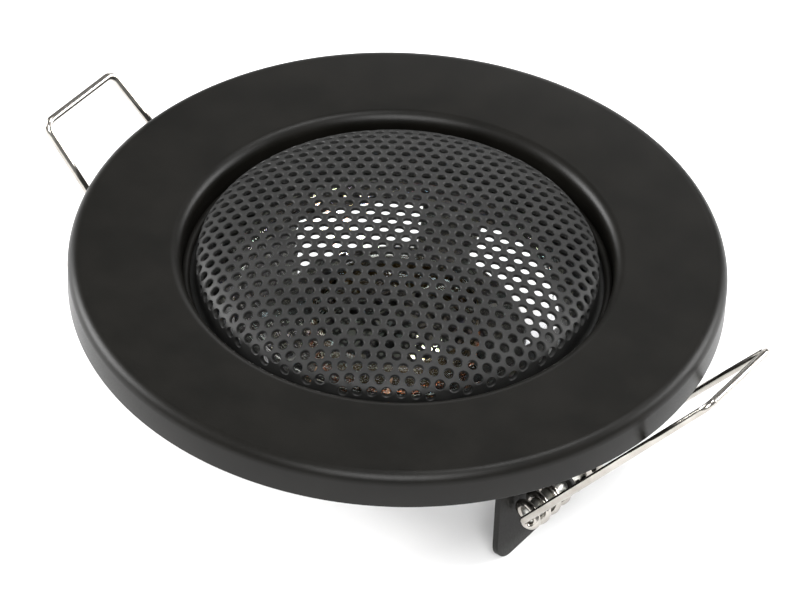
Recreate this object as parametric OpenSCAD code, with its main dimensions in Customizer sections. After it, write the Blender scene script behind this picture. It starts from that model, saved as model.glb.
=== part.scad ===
// Round flush-mount loudspeaker: a pressed bezel with a domed grille, a 50 mm
// film-cone driver in a collar behind it, and two sprung wire clips.
// Units are millimetres. +Z points out of the front; z = 0 is the panel face
// that the bezel's skirt seats on; the origin is on the axis of the ring and
// the clips stand on the X axis.

/* [Bezel] */
// Outside diameter of the bezel ring
bezel_d = 80; // [78:0.5:82]
// Height of the bezel from the panel to its front face
bezel_h = 4.7; // [4.5:0.1:5.2]
// Thickness of the pressed sheet
bezel_t = 0.7; // [0.6:0.1:0.8]
// Radius of the rounded outer edge
edge_r = 1.5; // [1:0.1:2]
// Diameter of the opening inside the rolled lip
lip_d = 52.4; // [52.3:0.1:52.6]
// Radius of the roll at the opening
lip_r = 1.5; // [1.2:0.1:1.7]

/* [Collar] */
// Outside diameter of the collar that passes through the panel
collar_d = 59.4; // [58.4:0.1:60.4]
// Thickness of the collar's sheet
collar_t = 0.8; // [0.6:0.1:1]
// Depth of the collar behind the panel face
collar_depth = 4; // [4:0.1:4.2]
// Width of each tab that carries a clip
tab_w = 19; // [18.2:0.2:20.4]
// Distance from the axis to the outer face of each tab
tab_x = 23.3; // [23.1:0.1:23.4]
// Depth of the tabs behind the panel face
tab_depth = 26.8; // [24:0.2:30]
// Radius of the tabs' lower corners
tab_corner_r = 3; // [1:0.5:6]

/* [Clips] */
// Diameter of the spring wire
wire_d = 1; // [0.8:0.1:1.1]
// Mean radius of the coil
coil_r = 1.65; // [1.65:0.01:1.7]
// Turns in each half of the coil
coil_turns = 3; // [2:0.25:4]
// Distance from the axis of the ring to the coil's axis
clip_x = 25.8; // [25.8:0.1:26.2]
// Depth of the coil's axis behind the panel face
clip_depth = 18.6; // [18:0.1:19]
// Length of each leg from the coil's axis to the end bar
leg_len = 33.4; // [26:0.1:36]
// Length of the end bar
end_bar_len = 13; // [9:0.1:15]
// Sideways lean of the end bar
end_bar_lean = 4.2; // [0:0.1:4.5]
// Radius of the corners at the end bar
leg_corner_r = 1.3; // [1:0.1:3]
// Gap between a leg and the edge of the skirt
leg_gap = 0.12; // [0.08:0.01:0.3]

/* [Grille] */
// Diameter of the grille's dome at its foot
grille_d = 49; // [48.4:0.1:49.1]
// Height of the dome above the panel face
grille_top = 8.4; // [7.4:0.1:8.8]
// Thickness of the grille's sheet
grille_t = 0.6; // [0.4:0.1:0.7]

/* [Driver] */
// Outside diameter of the driver's rim, gaskets and grille flange
rim_d = 52; // [51.6:0.1:52.2]
// Diameter of the voice coil's former
coil_d = 20.4; // [20:0.1:20.6]
// Diameter of the magnet
magnet_d = 31.8; // [28:0.1:34]
// Height of the magnet
magnet_h = 6; // [4:0.5:7]
// Angle of the first basket window's middle from the X axis
window_angle = 60; // [56:0.5:65]
// Angle that each basket window spans
window_span = 66; // [40:1:70]

/* [Hidden] */

black = [0.13, 0.13, 0.14];
steel = [0.78, 0.78, 0.76];
film = [0.72, 0.74, 0.72, 0.6];
brass = [0.78, 0.62, 0.32];
copper = [0.72, 0.38, 0.2];
round_fn = 160;
small_fn = 40;
// How far a cutting tool stands past the face that it cuts
past = 1;

// Levels behind the panel face, from the collar's ledge to the front
ledge_top = collar_t - collar_depth;
rear_gasket_t = 0.5;
rim_z = ledge_top + rear_gasket_t;
rim_t = 0.8;
film_t = 0.2;
surround_z = rim_z + rim_t;
front_gasket_z = surround_z + film_t;
front_gasket_t = 1.5;
front_gasket_r = 23.6;
rear_gasket_r = 23;
grille_z = front_gasket_z + front_gasket_t;
snap_d = 1;
snap_gap = 14;
snap_z = grille_z + grille_t + snap_d / 2;
grille_foot_z = 3.2;
weld_flange_r = 33;

// Basket and motor
basket_t = 0.8;
basket_top_r = 22.2;
basket_foot_r = 15.2;
basket_foot_z = -9.5;
basket_hole_r = 11.6;
window_inner_r = 15.7;
window_outer_r = 19.9;
window_low_z = basket_foot_z + basket_t + 0.2;
window_high_z = rim_z - 0.8;
window_count = 4;
plate_t = 2;
top_plate_r = magnet_d / 2 - 0.5;
top_plate_z = basket_foot_z - plate_t;
magnet_z = top_plate_z - magnet_h;
yoke_z = magnet_z - plate_t;
pole_r = coil_d / 2 - 0.5;
vent_r = 2.5;
gap_r = coil_d / 2 + 0.75;
rivet_circle_r = 13.4;
rivet_r = 0.55;
rivet_count = 4;
rivet_head_r = 0.9;
rivet_crown_r = 0.6;
rivet_head_h = 0.4;
magnet_bore_r = gap_r + 0.9;

// Moving parts of the driver
dome_z = -4.4;
dome_rise = 2.2;
cone_r = 19;
cone_z = -1.5;
surround_rise = 1.1;
surround_r = 22.8;
winding_t = 0.35;
winding_h = 3.8;
winding_z = basket_foot_z - plate_t / 2 - winding_h / 2;
former_end_z = winding_z - 0.4;

// Terminals, on the basket spoke after the last window
terminal_angle = window_angle + 225;
board_x = 16.3;
board_len = 5.1;
board_w = 13;
board_t = 1;
lug_w = 5;
tag_y = 4.3;
tag_w = 2.4;
tag_t = 0.5;
tag_x = 18.9;
tag_end_z = -15.5;
eyelet_x = 17.5;
eyelet_r = 0.5;
eyelet_head_r = 0.85;
eyelet_head_h = 0.35;
tag_hole_r = 0.6;
tag_hole_z = tag_end_z + 1.4;
lead_d = 0.5;

// Clips: a small loop turns the wire from the end of the coil into its leg,
// which points away from the coil's axis and passes leg_gap clear of the
// skirt's lower edge
eye_r = 1.9;
eye_t = 0.6;
pin_r = coil_r - wire_d / 2 - 0.05;
pin_half = 7.2;
pin_edge = 0.3;
coil_inner = 1.1;
coil_outer = 7.6;
leg_y = 8.6;
contact_y = 4;
skirt_point = [sqrt(pow(bezel_d / 2, 2) - contact_y * contact_y) - clip_x, clip_depth];
leg_angle = atan2(skirt_point[1], skirt_point[0]) - asin((wire_d / 2 + leg_gap) / norm(skirt_point));
bend_r = 0.65;
bend_lag = asin(bend_r / (coil_r - bend_r));
leg_start = (coil_r - bend_r) * cos(bend_lag);
coil_steps = 16;
bend_steps = 10;
corner_steps = 5;
wire_sides = 8;

// Points of an arc in the plane, from angle a to angle b about c
function arc(c, r, a, b, n) = [
    for (i = [0:n]) c + r * [cos(a + (b - a) * i / n), sin(a + (b - a) * i / n)]
];
function unit(v) = v / norm(v);
// A tube that follows stations [point, side direction], closed at both ends
module swept_tube(stations, d, sides) {
    last = len(stations) - 1;
    points = [
        for (i = [0:last])
            let (
                here = stations[i],
                ahead = stations[min(i + 1, last)][0] - stations[max(i - 1, 0)][0],
                t = unit(ahead),
                n = unit(here[1] - (here[1] * t) * t),
                b = cross(t, n)
            )
            for (k = [0:sides - 1])
                here[0] + d / 2 * (n * cos(360 * k / sides) + b * sin(360 * k / sides))
    ];
    walls = [
        for (i = [0:last - 1])
            for (k = [0:sides - 1])
                let (next = (k + 1) % sides)
                [
                    i * sides + k,
                    (i + 1) * sides + k,
                    (i + 1) * sides + next,
                    i * sides + next,
                ]
    ];
    start_cap = [for (k = [0:sides - 1]) k];
    end_cap = [for (k = [sides - 1:-1:0]) last * sides + k];
    polyhedron(points = points, faces = concat([start_cap], walls, [end_cap]));
}
// Ring of rectangular section
module washer(inner_r, outer_r, z, t) {
    translate([0, 0, z])
        difference() {
            cylinder(r = outer_r, h = t, $fn = round_fn);
            translate([0, 0, -past])
                cylinder(r = inner_r, h = t + 2 * past, $fn = round_fn);
        }
}
module revolved(points) {
    rotate_extrude($fn = round_fn)
        polygon(points);
}

// Face, skirt and rolled lip, pressed from one sheet; the lip runs down as the
// wall of the well that holds the grille and the driver
module bezel_ring() {
    r = bezel_d / 2;
    lip = lip_d / 2;
    h = bezel_h;
    t = bezel_t;
    color(black)
        revolved(concat(
            [[r, 0]],
            arc([r - edge_r, h - edge_r], edge_r, 0, 90, 8),
            arc([lip + lip_r, h - lip_r], lip_r, 90, 180, 8),
            [[lip, ledge_top], [lip + t, ledge_top]],
            arc([lip + lip_r, h - lip_r], lip_r - t, 180, 90, 6),
            arc([r - edge_r, h - edge_r], edge_r - t, 90, 0, 6),
            [[r - t, 0]]
        ));
}

// Collar with its weld flange, the ledge under the driver, and two clip tabs
module spigot_collar() {
    neck_r = collar_d / 2;
    weld_z = bezel_h - bezel_t - collar_t;
    color(black)
        difference() {
            union() {
                washer(neck_r - collar_t, neck_r, -collar_depth, collar_depth + weld_z);
                washer(neck_r - collar_t, weld_flange_r, weld_z, collar_t);
                washer(tab_x - collar_t, neck_r, -collar_depth, collar_t);
                for (side = [0, 180])
                    rotate([0, 0, side])
                        clip_tab();
            }
            for (side = [0, 180])
                rotate([0, 0, side])
                    translate([clip_x, 0, -clip_depth])
                        rotate([90, 0, 0])
                            cylinder(r = pin_r, h = tab_w, center = true, $fn = small_fn);
        }
}
// One tab: a flat plate with an eye on its middle that holds the clip's pin
module clip_tab() {
    half = tab_w / 2;
    c = tab_corner_r;
    translate([tab_x - collar_t, 0, 0])
        rotate([90, 0, 90])
            linear_extrude(height = collar_t) {
                translate([-half, c - tab_depth])
                    square([tab_w, tab_depth - c + ledge_top]);
                translate([c - half, -tab_depth])
                    square([tab_w - 2 * c, 2 * c]);
                for (s = [-1, 1])
                    translate([s * (half - c), c - tab_depth])
                        circle(r = c, $fn = small_fn);
            }
    translate([0, eye_t / 2, 0])
        rotate([90, 0, 0])
            linear_extrude(height = eye_t) {
                translate([clip_x, -clip_depth])
                    circle(r = eye_r, $fn = small_fn);
                translate([tab_x - collar_t / 2, -clip_depth - eye_r])
                    square([clip_x - tab_x + collar_t / 2, 2 * eye_r]);
            }
}

// Domed grille with a short upright wall and a flange
module grille_dome() {
    r = grille_d / 2;
    t = grille_t;
    foot = grille_foot_z;
    rise = grille_top - foot;
    steps = 18;
    outside = [for (i = [0:steps]) let (a = 90 * i / steps) [r * cos(a), foot + rise * sin(a)]];
    inside = [
        for (i = [steps:-1:0])
            let (a = 90 * i / steps)
            [(r - t) * cos(a), foot + (rise - t) * sin(a)]
    ];
    color(black)
        revolved(concat(
            [[rim_d / 2, grille_z], [rim_d / 2, grille_z + t], [r, grille_z + t]],
            outside,
            inside,
            [[r - t, grille_z]]
        ));
}
// Split wire ring that grips the wall of the well and holds the grille down
module grille_snap_ring() {
    color(black)
        rotate([0, 0, 90 + snap_gap / 2])
            rotate_extrude(angle = 360 - snap_gap, $fn = round_fn)
                translate([(lip_d - snap_d) / 2, snap_z])
                    circle(d = snap_d, $fn = small_fn);
}
module front_gasket() {
    color([0.08, 0.08, 0.08])
        washer(front_gasket_r, rim_d / 2, front_gasket_z, front_gasket_t);
}
module rear_gasket() {
    color([0.08, 0.08, 0.08])
        washer(rear_gasket_r, rim_d / 2, ledge_top, rear_gasket_t);
}

// Pressed basket: rim, sloping wall with windows, foot and terminal lug
module driver_basket() {
    inside_foot_r = basket_foot_r - basket_t / 2;
    color([0.2, 0.2, 0.21])
        difference() {
            union() {
                rotate([0, 0, window_angle - 45])
                    revolved([
                        [basket_hole_r, basket_foot_z],
                        [basket_foot_r, basket_foot_z],
                        [basket_top_r, rim_z],
                        [rim_d / 2, rim_z],
                        [rim_d / 2, rim_z + rim_t],
                        [basket_top_r - basket_t, rim_z + rim_t],
                        [inside_foot_r, basket_foot_z + basket_t],
                        [basket_hole_r, basket_foot_z + basket_t],
                    ]);
                rotate([0, 0, terminal_angle])
                    translate([inside_foot_r, -lug_w / 2, basket_foot_z])
                        cube([board_x + board_len - inside_foot_r, lug_w, basket_t]);
            }
            for (i = [0:window_count - 1])
                rotate([0, 0, window_angle + 90 * i - window_span / 2])
                    rotate_extrude(angle = window_span, $fn = round_fn)
                        translate([window_inner_r, window_low_z])
                            square([window_outer_r - window_inner_r, window_high_z - window_low_z]);
            rivet_holes(basket_foot_z, basket_t);
            at_terminals()
                translate([eyelet_x, 0, basket_foot_z - past])
                    cylinder(r = eyelet_r, h = basket_t + 2 * past, $fn = small_fn);
        }
}
// Holes for the basket's rivets through a sheet of thickness t that starts at z
module rivet_holes(z, t) {
    for (i = [0:rivet_count - 1])
        rotate([0, 0, window_angle + 90 * i])
            translate([rivet_circle_r, 0, z - past])
                cylinder(r = rivet_r, h = t + 2 * past, $fn = small_fn);
}
module basket_rivets() {
    color(steel)
        for (i = [0:rivet_count - 1])
            rotate([0, 0, window_angle + 90 * i])
                translate([rivet_circle_r, 0, 0]) {
                    translate([0, 0, top_plate_z])
                        cylinder(r = rivet_r, h = plate_t + basket_t, $fn = small_fn);
                    translate([0, 0, basket_foot_z + basket_t])
                        cylinder(r1 = rivet_head_r, r2 = rivet_crown_r, h = rivet_head_h, $fn = small_fn);
                }
}

// Clear film cone, falling to the voice coil
module cone() {
    inner = coil_d / 2;
    color(film)
        revolved([
            [inner, dome_z],
            [cone_r, cone_z],
            [cone_r, cone_z + film_t],
            [inner, dome_z + film_t],
        ]);
}
// Half-roll edge of the same film, held under the front gasket
module surround() {
    inner = cone_r;
    mid = (surround_r + inner) / 2;
    half = (surround_r - inner) / 2;
    steps = 12;
    top = [
        for (i = [0:steps])
            let (a = 180 - 180 * i / steps)
            [mid + half * cos(a), surround_z + film_t + surround_rise * sin(a)]
    ];
    under = [
        for (i = [steps:-1:0])
            let (a = 180 - 180 * i / steps)
            [mid + half * cos(a), surround_z + surround_rise * sin(a)]
    ];
    color(film)
        revolved(concat(
            [[inner, surround_z + film_t]],
            top,
            [[rim_d / 2 - 0.2, surround_z + film_t], [rim_d / 2 - 0.2, surround_z]],
            under
        ));
}
// Spherical cap over the voice coil
module centre_dome() {
    edge = coil_d / 2;
    ball_r = (edge * edge + dome_rise * dome_rise) / (2 * dome_rise);
    half = asin(edge / ball_r);
    centre_z = dome_z + film_t + dome_rise - ball_r;
    color(film)
        revolved(concat(
            arc([0, centre_z], ball_r, 90 - half, 90, 12),
            arc([0, centre_z], ball_r - film_t, 90, 90 - half, 12)
        ));
}
module coil_former() {
    color([0.75, 0.45, 0.12])
        washer(coil_d / 2 - film_t, coil_d / 2, former_end_z, dome_z - former_end_z);
}
module voice_coil() {
    color(copper)
        washer(coil_d / 2, coil_d / 2 + winding_t, winding_z, winding_h);
}

// Motor
module top_plate() {
    color(steel)
        difference() {
            washer(gap_r, top_plate_r, top_plate_z, plate_t);
            rivet_holes(top_plate_z, plate_t);
        }
}
module magnet() {
    color([0.23, 0.22, 0.22])
        washer(magnet_bore_r, magnet_d / 2, magnet_z, magnet_h);
}
module pole_yoke() {
    color(steel)
        difference() {
            union() {
                translate([0, 0, yoke_z])
                    cylinder(r = top_plate_r, h = plate_t, $fn = round_fn);
                translate([0, 0, yoke_z])
                    cylinder(r = pole_r, h = basket_foot_z - yoke_z, $fn = round_fn);
            }
            translate([0, 0, yoke_z - past])
                cylinder(r = vent_r, h = basket_foot_z - yoke_z + 2 * past, $fn = small_fn);
        }
}

// Terminals
module at_terminals() {
    rotate([0, 0, terminal_angle])
        children();
}
module terminal_board() {
    color([0.45, 0.27, 0.14])
        at_terminals()
            difference() {
                translate([board_x, -board_w / 2, basket_foot_z - board_t])
                    cube([board_len, board_w, board_t]);
                for (y = [-tag_y, 0, tag_y])
                    translate([eyelet_x, y, basket_foot_z - board_t - past])
                        cylinder(r = eyelet_r, h = board_t + 2 * past, $fn = small_fn);
                for (y = [-tag_y, tag_y])
                    translate([tag_x, y - tag_w / 2, basket_foot_z - board_t - past])
                        cube([tag_t, tag_w, board_t + 2 * past]);
            }
}
// L-shaped solder tag: a foot on the board and a blade behind it
module terminal_tag(y) {
    color(brass)
        at_terminals()
            difference() {
                union() {
                    translate([tag_x, y - tag_w / 2, tag_end_z])
                        cube([tag_t, tag_w, basket_foot_z + tag_t - tag_end_z]);
                    translate([eyelet_x - tag_w / 2, y - tag_w / 2, basket_foot_z])
                        cube([tag_x + tag_t - eyelet_x + tag_w / 2, tag_w, tag_t]);
                }
                translate([eyelet_x, y, basket_foot_z - past])
                    cylinder(r = eyelet_r, h = tag_t + 2 * past, $fn = small_fn);
                translate([tag_x - past, y, tag_hole_z])
                    rotate([0, 90, 0])
                        cylinder(r = tag_hole_r, h = tag_t + 2 * past, $fn = small_fn);
            }
}
module terminal_positive() {
    terminal_tag(tag_y);
}
module terminal_negative() {
    terminal_tag(-tag_y);
}
module terminal_rivets() {
    color(steel)
        at_terminals()
            for (y = [-tag_y, 0, tag_y])
                let (grip_t = y == 0 ? basket_t : tag_t)
                translate([eyelet_x, y, basket_foot_z - board_t]) {
                    cylinder(r = eyelet_r, h = board_t + grip_t, $fn = small_fn);
                    for (z = [-eyelet_head_h, board_t + grip_t])
                        translate([0, 0, z])
                            cylinder(r = eyelet_head_r, h = eyelet_head_h, $fn = small_fn);
                }
}
// Flexible lead from a tag, through a window, to the back of the cone
module lead(side) {
    start = [eyelet_x, side * tag_y, basket_foot_z + 0.9];
    rise = [eyelet_x + 0.3, side * 4.9, -6.5];
    turn = [15, side * 4.9, -5];
    end = [12.6, side * 4.4, -3.85];
    steps = 12;
    stations = [
        for (i = [0:steps])
            let (
                u = i / steps,
                v = 1 - u,
                p = v * v * v * start + 3 * v * v * u * rise + 3 * v * u * u * turn + u * u * u * end
            )
            [p, [0, 1, 0]]
    ];
    color(copper)
        at_terminals()
            swept_tube(stations, lead_d, wire_sides);
}
module lead_positive() {
    lead(1);
}
module lead_negative() {
    lead(-1);
}

// Plain pin pressed into a tab's eye, with half of the clip's coil on each side
module clip_pin(side) {
    color(steel)
        rotate([0, 0, side])
            translate([clip_x, 0, -clip_depth])
                rotate([90, 0, 0]) {
                    cylinder(r = pin_r, h = 2 * (pin_half - pin_edge), center = true, $fn = small_fn);
                    for (end = [0, 180])
                        rotate([end, 0, 0])
                            translate([0, 0, pin_half - pin_edge])
                                cylinder(r1 = pin_r, r2 = pin_r - pin_edge, h = pin_edge, $fn = small_fn);
                }
}
module clip_pin_right() {
    clip_pin(0);
}
module clip_pin_left() {
    clip_pin(180);
}

function in_plane(a) = [cos(a), 0, sin(a)];
// Stations of one half coil: side is -1 or 1, from its free end to its leg's bend
function half_coil(side) = [
    for (i = [0:coil_steps * coil_turns])
        let (
            u = i / (coil_steps * coil_turns),
            a = leg_angle - bend_lag + 360 * coil_turns * (1 - u),
            y = side * (coil_inner + (coil_outer - coil_inner) * u)
        )
        [coil_r * in_plane(a) + [0, y, 0], in_plane(a)]
];
// Stations of the small loop that turns the wire from the coil into its leg
function leg_bend(side) = [
    for (i = [1:bend_steps])
        let (
            u = i / bend_steps,
            a = leg_angle + (360 - bend_lag) * (1 - u) + 90 * u,
            y = side * (coil_outer + (leg_y - coil_outer) * u),
            centre = (coil_r - bend_r) * in_plane(leg_angle - bend_lag)
        )
        [centre + bend_r * in_plane(a) + [0, y, 0], in_plane(a)]
];
// Stations of a rounded corner at q between the directions to p and s
function corner(p, q, s, r, out) =
    let (
        d1 = unit(p - q),
        d2 = unit(s - q),
        half = acos(d1 * d2) / 2,
        b = unit(d1 + d2),
        c = unit(d2 - d1),
        centre = q + b * r / sin(half)
    )
    [
        for (i = [0:corner_steps])
            let (f = (90 - half) * (2 * i / corner_steps - 1))
            [centre - b * r * cos(f) + c * r * sin(f), out]
    ];
function reversed(list) = [for (i = [len(list) - 1:-1:0]) list[i]];
// One wire: half coil, leg, end bar, leg and half coil
module spring_clip(side) {
    out = in_plane(leg_angle + 90);
    foot = leg_start * in_plane(leg_angle);
    tip = leg_len * in_plane(leg_angle);
    foot_a = foot - [0, leg_y, 0];
    foot_b = foot + [0, leg_y, 0];
    tip_a = tip + [0, end_bar_lean - end_bar_len / 2, 0];
    tip_b = tip + [0, end_bar_lean + end_bar_len / 2, 0];
    color(steel)
        rotate([0, 0, side])
            translate([clip_x, 0, -clip_depth])
                swept_tube(concat(
                    half_coil(-1),
                    leg_bend(-1),
                    corner(foot_a, tip_a, tip_b, leg_corner_r, out),
                    corner(tip_a, tip_b, foot_b, leg_corner_r, out),
                    reversed(leg_bend(1)),
                    reversed(half_coil(1))
                ), wire_d, wire_sides);
}
module spring_clip_right() {
    spring_clip(0);
}
module spring_clip_left() {
    spring_clip(180);
}

bezel_ring();
spigot_collar();
grille_dome();
grille_snap_ring();
front_gasket();
rear_gasket();
driver_basket();
cone();
surround();
centre_dome();
coil_former();
voice_coil();
top_plate();
magnet();
pole_yoke();
basket_rivets();
terminal_board();
terminal_positive();
terminal_negative();
terminal_rivets();
lead_positive();
lead_negative();
clip_pin_right();
clip_pin_left();
spring_clip_right();
spring_clip_left();
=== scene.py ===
"""Looks of a round flush-mount loudspeaker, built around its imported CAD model.

Shapes are worked out in millimetres in the model's own frame, and new_piece() writes them in metres.
"""

import math

import bmesh
import bpy
import numpy as np
from mathutils import Matrix, Vector, geometry


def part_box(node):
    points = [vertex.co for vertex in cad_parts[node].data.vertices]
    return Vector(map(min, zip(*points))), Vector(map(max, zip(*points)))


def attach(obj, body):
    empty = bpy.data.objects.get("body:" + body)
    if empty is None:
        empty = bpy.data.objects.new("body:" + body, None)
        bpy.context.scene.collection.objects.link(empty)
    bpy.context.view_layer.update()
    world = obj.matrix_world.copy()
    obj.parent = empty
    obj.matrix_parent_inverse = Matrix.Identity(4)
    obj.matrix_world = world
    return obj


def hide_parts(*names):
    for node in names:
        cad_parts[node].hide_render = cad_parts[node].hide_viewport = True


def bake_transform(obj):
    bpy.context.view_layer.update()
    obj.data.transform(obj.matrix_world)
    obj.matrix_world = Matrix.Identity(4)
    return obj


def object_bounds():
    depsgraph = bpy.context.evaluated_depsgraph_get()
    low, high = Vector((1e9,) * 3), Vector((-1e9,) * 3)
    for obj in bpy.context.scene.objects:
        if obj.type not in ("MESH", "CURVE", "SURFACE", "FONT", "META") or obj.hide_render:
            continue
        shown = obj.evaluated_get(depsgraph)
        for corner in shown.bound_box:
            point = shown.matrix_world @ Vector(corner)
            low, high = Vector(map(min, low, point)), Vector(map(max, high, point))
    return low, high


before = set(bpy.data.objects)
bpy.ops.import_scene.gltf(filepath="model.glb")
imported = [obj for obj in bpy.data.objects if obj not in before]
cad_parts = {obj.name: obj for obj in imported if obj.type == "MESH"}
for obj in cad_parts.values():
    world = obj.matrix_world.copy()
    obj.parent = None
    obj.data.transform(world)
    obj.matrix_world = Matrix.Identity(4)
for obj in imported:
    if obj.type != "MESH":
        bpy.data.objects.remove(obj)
CAD_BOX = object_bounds()
MM = 0.001
ROUND = 192
HOUSING = "housing"
DIAPHRAGM = "diaphragm"


# ---------------------------------------------------------------- sizes from the frame
def box_mm(node):
    """Lowest and highest corner of a CAD node, in millimetres."""
    low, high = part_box(node)
    return low / MM, high / MM


BEZEL_LOW, BEZEL_HIGH = box_mm("bezel_ring")
COLLAR_LOW, COLLAR_HIGH = box_mm("spigot_collar")
GRILLE_LOW, GRILLE_HIGH = box_mm("grille_dome")
FRONT_LOW, FRONT_HIGH = box_mm("front_gasket")
REAR_LOW, REAR_HIGH = box_mm("rear_gasket")
BASKET_LOW, BASKET_HIGH = box_mm("driver_basket")
CONE_LOW, CONE_HIGH = box_mm("cone")
SURROUND_LOW, SURROUND_HIGH = box_mm("surround")
DOME_LOW, DOME_HIGH = box_mm("centre_dome")
FORMER_LOW, FORMER_HIGH = box_mm("coil_former")
COIL_LOW, COIL_HIGH = box_mm("voice_coil")
PLATE_LOW, PLATE_HIGH = box_mm("top_plate")
MAGNET_LOW, MAGNET_HIGH = box_mm("magnet")
YOKE_LOW, YOKE_HIGH = box_mm("pole_yoke")
SNAP_LOW, SNAP_HIGH = box_mm("grille_snap_ring")
PIN_LOW, PIN_HIGH = box_mm("clip_pin_right")

BEZEL_R = BEZEL_HIGH.x
BEZEL_H = BEZEL_HIGH.z
BEZEL_T = 0.7
EDGE_R = 1.5
RIM_R = FRONT_HIGH.x
LIP_R = RIM_R + 0.2
LIP_ROLL = 1.5
LEDGE_Z = REAR_LOW.z

COLLAR_R = 29.7
COLLAR_T = 0.8
FLANGE_R = COLLAR_HIGH.x
COLLAR_FOOT = LEDGE_Z - COLLAR_T
TAB_FOOT = COLLAR_LOW.z
TAB_X = 23.3
TAB_W = 19.0
TAB_CORNER = 3.0

CLIP_X = (PIN_LOW.x + PIN_HIGH.x) / 2
CLIP_Z = (PIN_LOW.z + PIN_HIGH.z) / 2
EYE_R = 1.9
EYE_T = 0.6
WIRE_D = 1.0
COIL_R = 1.65
COIL_TURNS = 3
COIL_OUTER = 7.6
LEG_Y = 8.6
COIL_INNER = 1.1
LEG_LEN = 33.38
END_BAR = 13.0
END_LEAN = 4.2
LEG_CORNER = 1.3
LEG_BEND = 0.65
CONTACT_Y = 4.0
LEG_GAP = 0.12

GRILLE_T = 0.6
GRILLE_WALL_R = 24.5
GRILLE_FOOT = 3.2
HOLE_PITCH = 1.83
HOLE_R = 0.6
HOLE_EDGE = 0.1
LATTICE_TURN = 33.5

WINDOW_TURN = 60
TERMINAL_TURN = WINDOW_TURN + 225
FILM_T = 0.1


# ---------------------------------------------------------------- mesh helpers
def new_piece(name, points, faces, smooth=35.0):
    """A mesh object from points in millimetres, with its normals outward and its edges over smooth degrees sharp."""
    mesh = bpy.data.meshes.new(name)
    mesh.from_pydata([tuple(Vector(p) * MM) for p in points], [], faces)
    shape = bmesh.new()
    shape.from_mesh(mesh)
    bmesh.ops.remove_doubles(shape, verts=shape.verts, dist=0.0005 * MM)
    bmesh.ops.dissolve_degenerate(shape, edges=shape.edges, dist=0.0002 * MM)
    bmesh.ops.recalc_face_normals(shape, faces=shape.faces)
    shape.to_mesh(mesh)
    shape.free()
    mesh.shade_smooth()
    mesh.set_sharp_from_angle(angle=math.radians(smooth))
    piece = bpy.data.objects.new(name, mesh)
    bpy.context.scene.collection.objects.link(piece)
    return piece


def rounded(outline, radius=0.0, steps=4):
    """The closed outline with each corner rounded. A corner's third number, if it has one, is its own radius."""
    smooth = []
    count = len(outline)
    for i, corner in enumerate(outline):
        here = Vector(corner[:2])
        r = corner[2] if len(corner) > 2 else radius
        back = Vector(outline[i - 1][:2]) - here
        ahead = Vector(outline[(i + 1) % count][:2]) - here
        half = back.angle(ahead) / 2
        cut = min(r / math.tan(half), 0.48 * back.length, 0.48 * ahead.length)
        if cut < 0.01 or half > 1.5:
            smooth.append(here)
            continue
        inward = (back.normalized() + ahead.normalized()).normalized()
        across = (ahead.normalized() - back.normalized()).normalized()
        r = cut * math.tan(half)
        centre = here + inward * (r / math.sin(half))
        spread = math.pi / 2 - half
        for k in range(steps + 1):
            turn = spread * (2 * k / steps - 1)
            smooth.append(centre - inward * r * math.cos(turn) + across * r * math.sin(turn))
    return smooth


def arc(cx, cy, r, first, last, steps):
    """Points of an arc, angles in degrees."""
    turns = [math.radians(first + (last - first) * i / steps) for i in range(steps + 1)]
    return [Vector((cx + r * math.cos(a), cy + r * math.sin(a))) for a in turns]


def lathe(name, outline, segments=ROUND, smooth=35.0):
    """A closed outline of (radius, height) points, turned about the Z axis."""
    count = len(outline)
    turns = [2 * math.pi * j / segments for j in range(segments)]
    points = [(r * math.cos(a), r * math.sin(a), z) for a in turns for r, z in outline]
    faces = []
    for j in range(segments):
        for i in range(count):
            k = (i + 1) % count
            here, there = j * count, (j + 1) % segments * count
            faces.append((here + i, here + k, there + k, there + i))
    return new_piece(name, points, faces, smooth)


def tube_mesh(path, radius, sides, ends=3):
    """Points and faces of a round wire along a path, with domed ends."""
    path = [Vector(p) for p in path]
    last = len(path) - 1
    ahead = [(path[min(i + 1, last)] - path[max(i - 1, 0)]).normalized() for i in range(last + 1)]
    side = ahead[0].orthogonal().normalized()
    rings = []
    for i in range(last + 1):
        side = (side - ahead[i] * side.dot(ahead[i])).normalized()
        up = ahead[i].cross(side)
        caps = [(0.0, 1.0)]
        if i == 0:
            caps = [(-math.cos(a), math.sin(a)) for a in np.linspace(0.15, math.pi / 2, ends + 1)]
        if i == last:
            caps = [(math.cos(a), math.sin(a)) for a in np.linspace(math.pi / 2, 0.15, ends + 1)]
        for along, share in caps:
            centre = path[i] + ahead[i] * along * radius * 0.5
            turns = [2 * math.pi * k / sides for k in range(sides)]
            wide = radius * share
            rings.append([centre + wide * (side * math.cos(a) + up * math.sin(a)) for a in turns])
    points = [p for ring in rings for p in ring]
    faces = [tuple(range(sides))[::-1], tuple(range(len(points) - sides, len(points)))]
    for i in range(len(rings) - 1):
        for k in range(sides):
            n = (k + 1) % sides
            faces.append((i * sides + k, i * sides + n, (i + 1) * sides + n, (i + 1) * sides + k))
    return points, faces


def tubes(name, paths, radius, sides=16):
    """One piece made of round wires."""
    points, faces = [], []
    for path in paths:
        more, walls = tube_mesh(path, radius, sides)
        faces += [tuple(v + len(points) for v in f) for f in walls]
        points += more
    return new_piece(name, points, faces, 50.0)


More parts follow.
